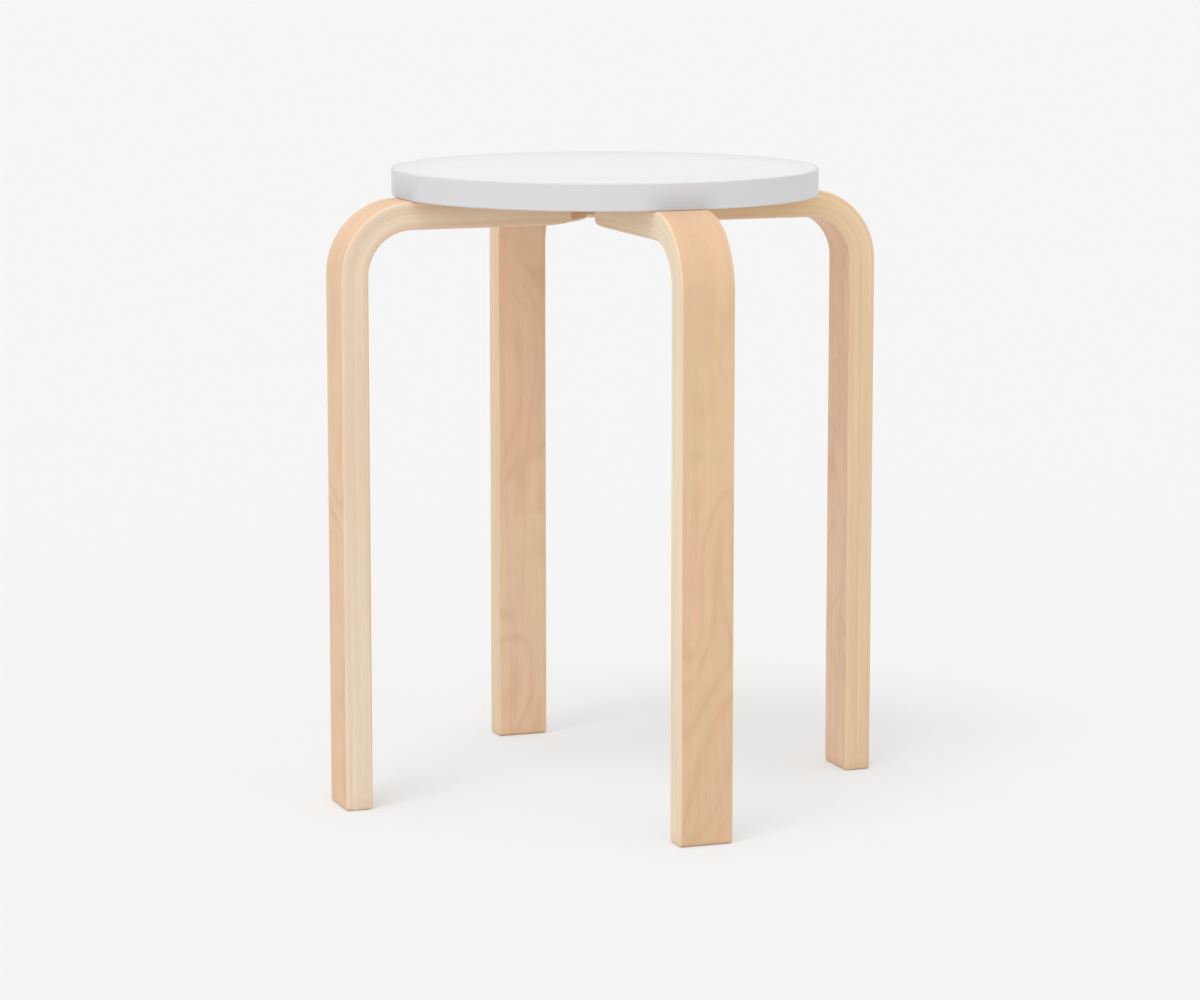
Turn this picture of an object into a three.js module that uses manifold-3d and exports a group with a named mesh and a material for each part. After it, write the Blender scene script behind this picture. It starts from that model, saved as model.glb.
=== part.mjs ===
// A stacking stool: a round white seat board on four bent laminated legs.
// Each leg is an L with a horizontal arm bolted under the seat and an upright
// that stands clear of the seat's edge, so that one stool stacks over another.
// Millimetres, +Z up. The origin is on the floor, under the middle of the seat.
// The front leg stands towards -Y and the right leg towards +X.

import Module from 'manifold-3d';
import * as THREE from 'three';
import { mergeVertices } from 'three/addons/utils/BufferGeometryUtils.js';

const wasm = await Module();
wasm.setup();

// Overall sizes
const overallHeight = 450;
const seatDiameter = 304;
const stackingGap = 30;
const legNames = ['front', 'right', 'back', 'left'];

// Seat board
const coreThickness = 17.2;
const topLaminateThickness = 0.8;
const backingThickness = 0.8;
const edgingThickness = 1.2;
const edgingCornerRadius = 1;
const glueLine = 0.1;

// Bent leg
const legWidth = 39;
const legThickness = 20;
const bendInnerRadius = 32;
const legEdgeRadius = 2;
const footCornerRadius = 2.5;
const mitreGap = 18.4;
const armTipRadius = 3;
const tipEasingReach = 17;
const tipEasingRise = 4;

// Bolts through each arm
const innerBoltInset = 27.5;
const outerBoltInset = 34;
const boltDiameter = 6;
const boltLength = 25;
const boltTipChamfer = 0.8;
const boltHeadDiameter = 10;
const boltHeadHeight = 6;
const boltHeadChamfer = 0.6;
const socketWidth = 5;
const socketDepth = 3;
const counterboreDepth = 7;
const counterboreClearance = 0.5;
const boltHoleClearance = 0.5;

// Threaded inserts in the seat's core board
const insertDiameter = 10;
const insertLength = 12;
const insertFlangeDiameter = 14;
const insertBarbHeight = 0.4;
const insertBarbCount = 3;
const insertClearance = 0.3;
const threadClearance = 0.3;
const pocketEndClearance = 1.6;

// Facets and cutting
const seatSides = 96;
const boltSides = 20;
const insertSides = 16;
const socketSides = 6;
const bendSteps = 16;
const edgeSteps = 3;
const cornerSteps = 3;
const easingSteps = 6;
const cutOverrun = 5;

// Sizes that follow from the ones above
const seatThickness =
  backingThickness + glueLine + coreThickness + glueLine + topLaminateThickness;
const seatUnderside = overallHeight - seatThickness;
const seatRadius = seatDiameter / 2;
const boardRadius = seatRadius - edgingThickness - glueLine;
const legReach = seatRadius + stackingGap + legThickness;
const bendOuterRadius = bendInnerRadius + legThickness;
const bendCentreReach = legReach - bendOuterRadius;
const mitreAngle = Math.PI / legNames.length;
const armTipReach = mitreGap / 2 / Math.sin(mitreAngle);
const armShoulderReach = armTipReach + legWidth / 2 / Math.tan(mitreAngle);
const boltReaches = {
  inner: armShoulderReach + innerBoltInset,
  outer: seatRadius - outerBoltInset,
};
const insertPocketRadius = insertDiameter / 2 + insertClearance;
const counterboreRadius = boltHeadDiameter / 2 + counterboreClearance;
const boltHoleRadius = boltDiameter / 2 + boltHoleClearance;
const boltSeatHeight = counterboreDepth - legThickness;
const boltTipHeight = boltSeatHeight + boltLength;
const coreHeight = backingThickness + glueLine;
const pocketDepth = Math.max(insertLength, boltTipHeight) - coreHeight + pocketEndClearance;

// Finishes
const birch = { color: 0xe4c4a0, roughness: 0.55, metalness: 0 };
const chipboard = { color: 0xc9ab80, roughness: 0.9, metalness: 0 };
const whiteLaminate = { color: 0xf6f6f4, roughness: 0.35, metalness: 0 };
const whiteEdging = { color: 0xf0f0ee, roughness: 0.4, metalness: 0 };
const brownBacking = { color: 0xd6bd9a, roughness: 0.6, metalness: 0 };
const zincSteel = { color: 0xb9bbbc, roughness: 0.35, metalness: 0.9 };
const insertMetal = { color: 0xc8b48a, roughness: 0.4, metalness: 0.9 };

// Points of a circular arc, both ends included
function arcPoints(centreX, centreY, radius, fromAngle, toAngle, steps) {
  const points = [];
  for (let step = 0; step <= steps; step += 1) {
    const angle = fromAngle + ((toAngle - fromAngle) * step) / steps;
    points.push(
      new THREE.Vector2(centreX + radius * Math.cos(angle), centreY + radius * Math.sin(angle)),
    );
  }
  return points;
}

// A closed surface as a solid that can be cut, without its collapsed triangles
function solidOf(geometry) {
  const bare = geometry.clone();
  bare.deleteAttribute('normal');
  bare.deleteAttribute('uv');
  const welded = mergeVertices(bare);
  const corners = welded.index.array;
  const kept = [];
  for (let first = 0; first < corners.length; first += 3) {
    const [a, b, c] = corners.slice(first, first + 3);
    if (a !== b && b !== c && c !== a) {
      kept.push(a, b, c);
    }
  }
  return new wasm.Manifold(
    new wasm.Mesh({
      numProp: 3,
      vertProperties: welded.getAttribute('position').array,
      triVerts: Uint32Array.from(kept),
    }),
  );
}

// The surface of a solid, ready for a mesh
function geometryOf(solid) {
  const cut = solid.getMesh();
  const geometry = new THREE.BufferGeometry();
  geometry.setAttribute('position', new THREE.BufferAttribute(cut.vertProperties, 3));
  geometry.setIndex(new THREE.BufferAttribute(cut.triVerts, 1));
  geometry.computeVertexNormals();
  return geometry;
}

// A profile of radius and height turned about the Z axis
function turned(profile, sides) {
  const geometry = new THREE.LatheGeometry(profile, sides);
  geometry.rotateX(Math.PI / 2);
  return geometry;
}

// A plain disc or plug that stands on z = bottom
function disc(radius, bottom, top, sides) {
  const profile = [
    new THREE.Vector2(0, bottom),
    new THREE.Vector2(radius, bottom),
    new THREE.Vector2(radius, top),
    new THREE.Vector2(0, top),
  ];
  return turned(profile, sides);
}

function namedMesh(name, geometry, finish) {
  const mesh = new THREE.Mesh(geometry, new THREE.MeshStandardMaterial(finish));
  mesh.name = name;
  return mesh;
}

// The same plug at every bolt of every leg, for cutting the seat's boards
function plugsAtBolts(radius, bottom, top) {
  const plugs = [];
  for (let leg = 0; leg < legNames.length; leg += 1) {
    for (const reach of Object.values(boltReaches)) {
      const plug = disc(radius, bottom, top, insertSides);
      plug.translate(reach, 0, 0);
      plug.rotateZ(legAngle(leg));
      plugs.push(solidOf(plug));
    }
  }
  return plugs;
}

function withHoles(geometry, plugs) {
  let board = solidOf(geometry);
  for (const plug of plugs) {
    board = board.subtract(plug);
  }
  return geometryOf(board);
}

// The front leg points along -Y and the others follow anticlockwise
function legAngle(leg) {
  return (leg / legNames.length) * 2 * Math.PI - Math.PI / 2;
}

// Core board of the seat, with a blind pocket for each insert
function seatCore() {
  const board = disc(boardRadius, 0, coreThickness, seatSides);
  const pockets = plugsAtBolts(insertPocketRadius, -cutOverrun, pocketDepth);
  const mesh = namedMesh('seat_core', withHoles(board, pockets), chipboard);
  mesh.position.z = seatUnderside + coreHeight;
  return mesh;
}

// White laminate on the top of the core
function seatTopLaminate() {
  const sheet = disc(boardRadius, 0, topLaminateThickness, seatSides);
  const mesh = namedMesh('seat_top_laminate', sheet, whiteLaminate);
  mesh.position.z = overallHeight - topLaminateThickness;
  return mesh;
}

// Backing laminate under the core, drilled for the flanges of the inserts
function seatBackingLaminate() {
  const sheet = disc(boardRadius, 0, backingThickness, seatSides);
  const flangeHoleRadius = insertFlangeDiameter / 2 + insertClearance;
  const holes = plugsAtBolts(flangeHoleRadius, -cutOverrun, backingThickness + cutOverrun);
  const mesh = namedMesh('seat_backing_laminate', withHoles(sheet, holes), brownBacking);
  mesh.position.z = seatUnderside;
  return mesh;
}

// White edging round the board, with both of its outer corners rounded
function seatEdging() {
  const innerRadius = seatRadius - edgingThickness;
  const cornerReach = seatRadius - edgingCornerRadius;
  const quarter = Math.PI / 2;
  const profile = [
    new THREE.Vector2(innerRadius, 0),
    ...arcPoints(cornerReach, edgingCornerRadius, edgingCornerRadius, -quarter, 0, cornerSteps),
    ...arcPoints(
      cornerReach,
      seatThickness - edgingCornerRadius,
      edgingCornerRadius,
      0,
      quarter,
      cornerSteps,
    ),
    new THREE.Vector2(innerRadius, seatThickness),
    new THREE.Vector2(innerRadius, 0),
  ];
  const mesh = namedMesh('seat_edging', turned(profile, seatSides), whiteEdging);
  mesh.position.z = seatUnderside;
  return mesh;
}

// Side view of a leg, reach along x and height along y, with the top of the arm at y = 0
function legSideOutline() {
  const quarter = Math.PI / 2;
  const innerReach = legReach - legThickness;
  const footHeight = -seatUnderside;
  const footCornerHeight = footHeight + footCornerRadius;
  const armStart = -cutOverrun;
  return [
    new THREE.Vector2(armStart, 0),
    new THREE.Vector2(armStart, -legThickness),
    ...arcPoints(bendCentreReach, -bendOuterRadius, bendInnerRadius, quarter, 0, bendSteps),
    ...arcPoints(
      innerReach + footCornerRadius,
      footCornerHeight,
      footCornerRadius,
      Math.PI,
      Math.PI + quarter,
      cornerSteps,
    ),
    ...arcPoints(
      legReach - footCornerRadius,
      footCornerHeight,
      footCornerRadius,
      -quarter,
      0,
      cornerSteps,
    ),
    ...arcPoints(bendCentreReach, -bendOuterRadius, bendOuterRadius, 0, quarter, bendSteps),
  ];
}

// Plan view of a leg: the arm ends in a rounded point whose two mitred faces
// run beside those of the neighbouring arms
function legPlanOutline() {
  const noseCentre = armTipReach + armTipRadius / Math.sin(mitreAngle);
  const noseTurn = Math.PI / 2 - mitreAngle;
  const sideWidth = legWidth / 2 + cutOverrun;
  const shoulderReach = armTipReach + sideWidth / Math.tan(mitreAngle);
  const farReach = legReach + cutOverrun;
  return [
    new THREE.Vector2(farReach, sideWidth),
    new THREE.Vector2(shoulderReach, sideWidth),
    ...arcPoints(noseCentre, 0, armTipRadius, Math.PI - noseTurn, Math.PI + noseTurn, cornerSteps * 2),
    new THREE.Vector2(shoulderReach, -sideWidth),
    new THREE.Vector2(farReach, -sideWidth),
  ];
}

// A cutter that runs along one mitred face and eases the underside of the arm's end
// in a quarter of an ellipse. The side is 1 or -1.
function tipEasingCutter(side) {
  const quarter = Math.PI / 2;
  const underside = -legThickness;
  const run = legWidth + tipEasingReach;
  const outline = [
    new THREE.Vector2(tipEasingReach, underside - cutOverrun),
    new THREE.Vector2(-cutOverrun, underside - cutOverrun),
    new THREE.Vector2(-cutOverrun, underside + tipEasingRise),
  ];
  for (let step = 0; step <= easingSteps; step += 1) {
    const turn = (quarter * step) / easingSteps;
    const reach = tipEasingReach * (1 - Math.cos(turn));
    const rise = tipEasingRise * (1 - Math.sin(turn));
    outline.push(new THREE.Vector2(reach, underside + rise));
  }
  const cutter = new THREE.ExtrudeGeometry(new THREE.Shape(outline), {
    depth: 2 * run,
    bevelEnabled: false,
  });
  cutter.translate(0, 0, -run);
  cutter.rotateX(quarter);
  cutter.rotateZ(side * (mitreAngle - quarter));
  cutter.translate(armTipReach, 0, 0);
  return solidOf(cutter);
}

// Counterbore from below and a clearance hole through the arm
function boltHoleCutter(reach) {
  const profile = [
    new THREE.Vector2(0, -legThickness - cutOverrun),
    new THREE.Vector2(counterboreRadius, -legThickness - cutOverrun),
    new THREE.Vector2(counterboreRadius, boltSeatHeight),
    new THREE.Vector2(boltHoleRadius, boltSeatHeight),
    new THREE.Vector2(boltHoleRadius, cutOverrun),
    new THREE.Vector2(0, cutOverrun),
  ];
  const cutter = turned(profile, boltSides);
  cutter.translate(reach, 0, 0);
  return solidOf(cutter);
}

// A bent leg: its side view is extruded over its width with rounded edges, then the
// arm's end is mitred, its underside is eased along both mitres and the arm is drilled
function legGeometry() {
  const side = new THREE.ExtrudeGeometry(new THREE.Shape(legSideOutline()), {
    depth: legWidth - 2 * legEdgeRadius,
    bevelEnabled: true,
    bevelThickness: legEdgeRadius,
    bevelSize: legEdgeRadius,
    bevelOffset: -legEdgeRadius,
    bevelSegments: edgeSteps,
  });
  side.translate(0, 0, legEdgeRadius - legWidth / 2);
  side.rotateX(Math.PI / 2);
  const plan = new THREE.ExtrudeGeometry(new THREE.Shape(legPlanOutline()), {
    depth: seatUnderside + 2 * cutOverrun,
    bevelEnabled: false,
  });
  plan.translate(0, 0, -seatUnderside - cutOverrun);
  let leg = solidOf(side).intersect(solidOf(plan));
  for (const mitredSide of [1, -1]) {
    leg = leg.subtract(tipEasingCutter(mitredSide));
  }
  for (const reach of Object.values(boltReaches)) {
    leg = leg.subtract(boltHoleCutter(reach));
  }
  return geometryOf(leg);
}

// A hexagon socket bolt whose head bears on z = 0, with its shank upwards
function boltGeometry() {
  const headRadius = boltHeadDiameter / 2;
  const shankRadius = boltDiameter / 2;
  const profile = [
    new THREE.Vector2(0, -boltHeadHeight),
    new THREE.Vector2(headRadius - boltHeadChamfer, -boltHeadHeight),
    new THREE.Vector2(headRadius, boltHeadChamfer - boltHeadHeight),
    new THREE.Vector2(headRadius, 0),
    new THREE.Vector2(shankRadius, 0),
    new THREE.Vector2(shankRadius, boltLength - boltTipChamfer),
    new THREE.Vector2(shankRadius - boltTipChamfer, boltLength),
    new THREE.Vector2(0, boltLength),
  ];
  const socketRadius = socketWidth / 2 / Math.cos(Math.PI / socketSides);
  const socketEnd = socketDepth - boltHeadHeight;
  const socket = disc(socketRadius, -boltHeadHeight - cutOverrun, socketEnd, socketSides);
  return geometryOf(solidOf(turned(profile, boltSides)).subtract(solidOf(socket)));
}

// A flanged insert with barbs that hold it in the core, its flange down at z = 0
function insertGeometry() {
  const boreRadius = boltDiameter / 2 + threadClearance;
  const barrelRadius = insertDiameter / 2;
  const barbPitch = (insertLength - backingThickness) / insertBarbCount;
  const profile = [
    new THREE.Vector2(boreRadius, 0),
    new THREE.Vector2(insertFlangeDiameter / 2, 0),
    new THREE.Vector2(insertFlangeDiameter / 2, backingThickness),
  ];
  for (let barb = 0; barb < insertBarbCount; barb += 1) {
    const barbHeight = backingThickness + barb * barbPitch;
    profile.push(new THREE.Vector2(barrelRadius, barbHeight));
    profile.push(new THREE.Vector2(barrelRadius - insertBarbHeight, barbHeight + barbPitch));
  }
  profile.push(new THREE.Vector2(boreRadius, insertLength));
  profile.push(new THREE.Vector2(boreRadius, 0));
  return turned(profile, insertSides);
}

// One leg with its bolts and inserts, in a group whose x axis runs out along the arm
function legGroup(leg, shapes) {
  const name = legNames[leg];
  const group = new THREE.Group();
  group.position.z = seatUnderside;
  group.rotation.z = legAngle(leg);
  group.add(namedMesh(`leg_${name}`, shapes.leg, birch));
  for (const [place, reach] of Object.entries(boltReaches)) {
    const bolt = namedMesh(`bolt_${name}_${place}`, shapes.bolt, zincSteel);
    bolt.position.set(reach, 0, boltSeatHeight);
    group.add(bolt);
    const insert = namedMesh(`insert_${name}_${place}`, shapes.insert, insertMetal);
    insert.position.set(reach, 0, 0);
    group.add(insert);
  }
  return group;
}

const stool = new THREE.Group();
stool.add(seatCore());
stool.add(seatTopLaminate());
stool.add(seatBackingLaminate());
stool.add(seatEdging());

const legShapes = { leg: legGeometry(), bolt: boltGeometry(), insert: insertGeometry() };
for (let leg = 0; leg < legNames.length; leg += 1) {
  stool.add(legGroup(leg, legShapes));
}

export default stool;
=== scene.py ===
"""Looks of a stacking stool: bent birch legs, a white seat, its bolts and a plain stage.

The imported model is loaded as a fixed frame. Each operator dresses or rebuilds one
piece, or one group of like pieces, in metres and in the frame's own axes: +Z is up,
the front leg stands towards -Y and the right leg towards +X.
"""

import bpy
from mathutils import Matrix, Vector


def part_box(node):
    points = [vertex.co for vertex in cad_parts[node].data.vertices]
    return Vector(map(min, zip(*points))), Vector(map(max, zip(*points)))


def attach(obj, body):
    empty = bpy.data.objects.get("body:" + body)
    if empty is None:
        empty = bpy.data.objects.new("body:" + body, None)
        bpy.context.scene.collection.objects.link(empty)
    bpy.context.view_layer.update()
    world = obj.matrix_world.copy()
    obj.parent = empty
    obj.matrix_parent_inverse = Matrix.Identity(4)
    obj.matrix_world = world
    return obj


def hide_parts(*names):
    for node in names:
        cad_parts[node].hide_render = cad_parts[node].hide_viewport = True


bl_info = {
    "name": "Stacking Stool",
    "version": (1, 0, 0),
    "blender": (4, 5, 0),
    "location": "View3D > Sidebar > Stool",
    "description": "Finishes the pieces of a stacking stool and sets its stage",
    "category": "Add Mesh",
}

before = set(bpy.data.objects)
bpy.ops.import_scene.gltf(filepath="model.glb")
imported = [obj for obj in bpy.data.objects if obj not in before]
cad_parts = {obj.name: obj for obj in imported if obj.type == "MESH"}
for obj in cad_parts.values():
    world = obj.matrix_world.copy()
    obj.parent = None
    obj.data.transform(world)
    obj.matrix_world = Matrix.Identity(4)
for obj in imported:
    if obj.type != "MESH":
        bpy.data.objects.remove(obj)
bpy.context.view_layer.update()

import math

import bmesh
import bpy
from mathutils import Color, Matrix, Vector

# Names that the frame gives
ROOT = "root"
LEG_NAMES = ["front", "right", "back", "left"]
BOLT_PLACES = ["inner", "outer"]

# Units
MM = 0.001

# Places read from the frame
leg_low, leg_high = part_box("leg_front")
edging_low, edging_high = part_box("seat_edging")
board_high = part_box("seat_top_laminate")[1]
bolt_low, bolt_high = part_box("bolt_front_inner")

LEG_REACH = -leg_low.y
LEG_HALF_WIDTH = leg_high.x
ARM_TOP = leg_high.z
SEAT_RADIUS = edging_high.x
BOARD_RADIUS = board_high.x
SEAT_TOP = edging_high.z
SEAT_UNDERSIDE = edging_low.z
BOLT_HEAD_RADIUS = (bolt_high.x - bolt_low.x) / 2
BOLT_LOW = bolt_low.z
BOLT_HIGH = bolt_high.z


def srgb(red, green, blue):
    """A colour of 0 to 255 per channel, as the linear values that Blender's sockets take."""
    shade = Color((red / 255, green / 255, blue / 255)).from_srgb_to_scene_linear()
    return tuple(shade)


def length_property(name, description, default):
    return bpy.props.FloatProperty(
        name=name, description=description, default=default, min=0.0, unit="LENGTH", precision=5
    )


def colour_property(name, description, default):
    return bpy.props.FloatVectorProperty(
        name=name, description=description, default=default, size=3, min=0.0, max=1.0, subtype="COLOR"
    )


def share_property(name, description, default):
    return bpy.props.FloatProperty(
        name=name, description=description, default=default, min=0.0, max=1.0, subtype="FACTOR"
    )


def level_property(name, description, default):
    return bpy.props.FloatProperty(name=name, description=description, default=default, min=0.0)


def angle_property(name, description, default):
    return bpy.props.FloatProperty(name=name, description=description, default=default, subtype="ANGLE")


def direction_property(name, description, default):
    return bpy.props.FloatVectorProperty(
        name=name, description=description, default=default, subtype="DIRECTION"
    )


class LegSettings(bpy.types.PropertyGroup):
    """Sizes and colours of the bent birch legs"""

    thickness: length_property("Leg Thickness", "Thickness of the glued stack of veneers", 20 * MM)
    bend_inner_radius: length_property("Bend Inner Radius", "Radius inside the bend under the seat", 32 * MM)
    ply_thickness: length_property("Ply Thickness", "Thickness of one veneer in the stack", 1.55 * MM)
    easing: length_property("Easing", "Width of the softened edge at the mitres and bolt holes", 0.35 * MM)
    # Each leg's colours are partly the birch's own tone and partly painted light: they were fitted leg by leg
    # to make up for the light and shade that each leg's seen faces get
    front_face: colour_property("Front Leg Face", "Birch on its broad faces", srgb(236, 200, 160))
    right_face: colour_property("Right Leg Face", "Birch on its broad faces", srgb(248, 213, 181))
    back_face: colour_property("Back Leg Face", "Birch on its broad faces", srgb(245, 212, 177))
    left_face: colour_property("Left Leg Face", "Birch on its broad faces", srgb(241, 205, 169))
    front_side: colour_property("Front Leg Side", "Veneers on its narrow sides", srgb(255, 240, 212))
    right_side: colour_property("Right Leg Side", "Veneers on its narrow sides", srgb(247, 219, 180))
    back_side: colour_property("Back Leg Side", "Veneers on its narrow sides", srgb(246, 224, 189))
    left_side: colour_property("Left Leg Side", "Veneers on its narrow sides", srgb(250, 232, 207))
    end_colour: colour_property("End Grain Colour", "Birch at the feet and arm tips", srgb(222, 189, 152))
    figure_colour: colour_property("Figure Colour", "Growth lines and glue lines", srgb(214, 166, 120))
    blush_colour: colour_property("Blush Colour", "Rosy streaks that run with the grain", srgb(238, 186, 158))
    figure: share_property("Figure", "Strength of the growth lines and flames", 0.8)
    roughness: share_property("Roughness", "Roughness of the matt clear lacquer", 0.58)


class SeatSettings(bpy.types.PropertyGroup):
    """Sizes and colours of the seat board and its edging"""

    edging_corner_radius: length_property("Edging Corner Radius", "Rounding of the rim's edges", 1 * MM)
    glue_line: length_property("Glue Line", "Gap between the board and its edging", 0.1 * MM)
    joint_gap: length_property("Joint Gap", "Gap where the ends of the edging meet at the back", 0.12 * MM)
    # These settings paint shade on the top: greyer towards its far edge, and a darker line round its edge,
    # standing in for the light that falls off there
    unshaded_middle: bpy.props.FloatVectorProperty(
        name="Unshaded Middle",
        description="Middle of the least worn area of the top",
        default=(-9 * MM, -23 * MM),
        size=2,
        unit="LENGTH",
    )
    far_shade_width: length_property("Far Shade Width", "Breadth over which the wear grows towards the edge", 55 * MM)
    far_shade: share_property("Far Shade", "Strength of the wear at the farthest edge", 0.5)
    edge_shade_width: length_property("Seam Width", "Width of the darker line along the edge of the top", 2.5 * MM)
    seam: share_property("Seam", "Strength of the darker line along the edge of the top", 0.35)
    laminate_colour: colour_property("Laminate Colour", "White top of the seat", srgb(241, 241, 242))
    painted_shade_colour: colour_property("Painted Shade Colour", "Laminate where it is worn", srgb(218, 218, 218))
    edging_colour: colour_property("Edging Colour", "White band round the seat", srgb(227, 227, 228))
    # Painted shade: the edging greyer low down above each leg, where the leg takes light away
    leg_shade_colour: colour_property("Leg Shade Colour", "Edging where stacked stools rub it", srgb(203, 207, 214))
    backing_colour: colour_property("Backing Colour", "Plain sheet under the seat", srgb(214, 189, 154))
    chip_colour: colour_property("Chip Colour", "Wood chips of the core board", srgb(206, 176, 132))


class BoltSettings(bpy.types.PropertyGroup):
    """Sizes and colours of the socket bolts and the threaded inserts"""

    shank_radius: length_property("Shank Radius", "Half of the bolt's diameter", 3 * MM)
    head_height: length_property("Head Height", "Height of the cylindrical head", 6 * MM)
    socket_width: length_property("Socket Width", "Width across the flats of the socket", 5 * MM)
    socket_depth: length_property("Socket Depth", "Depth of the socket's flats", 3 * MM)
    thread_pitch: length_property("Thread Pitch", "Rise of the thread in one turn", 1 * MM)
    plain_shank: length_property("Plain Shank", "Length without thread under the head", 5 * MM)
    tip_chamfer: length_property("Tip Chamfer", "Height of the chamfer at the tip", 0.8 * MM)
    head_round: length_property("Head Round", "Rounding of the head's lower edge", 0.6 * MM)
    lead_in: length_property("Lead In", "Depth and width of the chamfer at the socket's mouth", 0.3 * MM)
    zinc_colour: colour_property("Zinc Colour", "Plating of the bolts", srgb(205, 208, 212))
    insert_colour: colour_property("Insert Colour", "Metal of the inserts", srgb(206, 184, 138))


class StageSettings(bpy.types.PropertyGroup):
    """Floor, light and camera"""

    floor_radius: length_property("Floor Radius", "Reach of the floor from the stool", 60.0)
    floor_colour: colour_property("Floor Colour", "Pale matt floor", srgb(246, 246, 246))
    # Painted light: a cooler floor colour around the stool that cancels the warm light the wood bounces onto
    # it
    counter_bounce_colour: colour_property("Counter Bounce Colour", "Floor around the stool", srgb(247, 251, 254))
    counter_bounce_reach: length_property("Counter Bounce Reach", "How far from the stool's axis the near colour reaches", 0.45)
    bounce_colour: colour_property("Bounce Colour", "What the floor throws back", srgb(218, 218, 220))
    backdrop_colour: colour_property("Backdrop Colour", "What lies beyond the floor", srgb(244, 244, 244))
    shadow_fade: share_property("Shadow Fade", "How far the floor's own glow weakens the shadow", 0.35)
    zenith_light: level_property("Zenith Light", "Brightness of the soft light overhead", 0.8)
    horizon_light: level_property("Horizon Light", "Brightness of the soft light at the sides", 0.77)
    front_light: level_property("Front Light", "Brightness of the soft light from the front", 0.34)
    front_direction: direction_property(
        "Front Direction", "Where the soft front light stands", (-0.58, -0.8, 0.2)
    )
    key_strength: level_property("Key Strength", "Strength of the key light", 0.55)
    key_spread: angle_property("Key Spread", "Apparent size of the key light", math.radians(24))
    key_direction: direction_property(
        "Key Direction", "Way that the key light travels", (0.372, 0.294, -0.88)
    )
    camera_distance: length_property("Camera Distance", "Distance along the floor", 2.9652)
    camera_height: length_property("Camera Height", "Height of the camera above the floor", 0.6758)
    camera_turn: angle_property("Camera Turn", "Turn of the camera round the stool", 0.3524)
    camera_tilt: angle_property("Camera Tilt", "Tilt of the camera below level", 0.1559)
    camera_pan: angle_property("Camera Pan", "Turn of the camera left of the stool's axis", 0.0012)
    lens: bpy.props.FloatProperty(
        name="Focal Length",
        description="Focal length of the camera's lens",
        default=124.9,
        min=1.0,
        unit="CAMERA",
    )


# Node trees

NODE_SPACING = (220, 190)
NODES_IN_COLUMN = 7
MIX_COLOUR_A = 6
MIX_COLOUR_B = 7
MIX_COLOUR_RESULT = 2

# Most of a noise texture lies between these values
USUAL_NOISE = (0.3, 0.7)


class Wiring:
    """Short calls for the nodes that the finishes use. An input takes a value or another node's output."""

    def __init__(self, tree):
        self.tree = tree

    def add(self, kind, inputs=(), **settings):
        """Adds a node. Inputs hold its values in order or by socket, and settings its options."""
        column, row = divmod(len(self.tree.nodes), NODES_IN_COLUMN)
        made = self.tree.nodes.new(kind)
        made.location = (column * NODE_SPACING[0], -row * NODE_SPACING[1])
        for name, value in settings.items():
            setattr(made, name, value)
        pairs = inputs.items() if isinstance(inputs, dict) else enumerate(inputs)
        for socket, value in pairs:
            self.feed(made.inputs[socket], value)
        return made

    def feed(self, socket, value):
        if isinstance(value, bpy.types.NodeSocket):
            self.tree.links.new(value, socket)
        elif socket.type == "RGBA":
            socket.default_value = (*value[:3], 1.0)
        else:
            socket.default_value = value

    def math(self, operation, *values, clamp=False):
        return self.add("ShaderNodeMath", values, operation=operation, use_clamp=clamp).outputs[0]

    def plus(self, first, second, clamp=False):
        return self.math("ADD", first, second, clamp=clamp)

    def minus(self, first, second):
        return self.math("SUBTRACT", first, second)

    def times(self, first, second):
        return self.math("MULTIPLY", first, second)

    def split(self, vector):
        return self.add("ShaderNodeSeparateXYZ", [vector]).outputs

    def join(self, x, y, z):
        return self.add("ShaderNodeCombineXYZ", [x, y, z]).outputs[0]

    def scaled(self, value, start, end, low, high, **settings):
        """Straight line from low to high, as value goes from start to end."""
        return self.add("ShaderNodeMapRange", [value, start, end, low, high], **settings).outputs[0]

    def step(self, value, start, end, low=0.0, high=1.0):
        """Smooth step from low to high, as value goes from start to end."""
        return self.scaled(value, start, end, low, high, interpolation_type="SMOOTHSTEP")

    def between(self, share, low, high):
        return self.scaled(share, 0.0, 1.0, low, high)

    def spread(self, noise, low, high):
        return self.scaled(noise, *USUAL_NOISE, low, high)

    def distance(self, vector, point):
        return self.add("ShaderNodeVectorMath", [vector, point], operation="DISTANCE").outputs["Value"]

    def noise(self, vector, scale=1.0, detail=2.0, roughness=0.5, distortion=0.0):
        inputs = {
            "Vector": vector,
            "Scale": scale,
            "Detail": detail,
            "Roughness": roughness,
            "Distortion": distortion,
        }
        return self.add("ShaderNodeTexNoise", inputs).outputs[0]

    def cells(self, vector, scale):
        return self.add("ShaderNodeTexVoronoi", {"Vector": vector, "Scale": scale}).outputs

    def mix(self, share, first, second, blend="MIX"):
        inputs = {0: share, MIX_COLOUR_A: first, MIX_COLOUR_B: second}
        made = self.add("ShaderNodeMix", inputs, data_type="RGBA", blend_type=blend)
        return made.outputs[MIX_COLOUR_RESULT]

    def shade(self, colour, level):
        """A colour made lighter or darker by a level. A level of 1 leaves it as it is."""
        return self.mix(1.0, colour, self.join(level, level, level), "MULTIPLY")

    def group(self, tree, **values):
        return self.add("ShaderNodeGroup", by_label(values), node_tree=tree).outputs


def by_label(values):
    """Values by socket name, which is the argument's name in title case, without underscores."""
    return {name.replace("_", " ").title(): value for name, value in values.items()}


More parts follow.
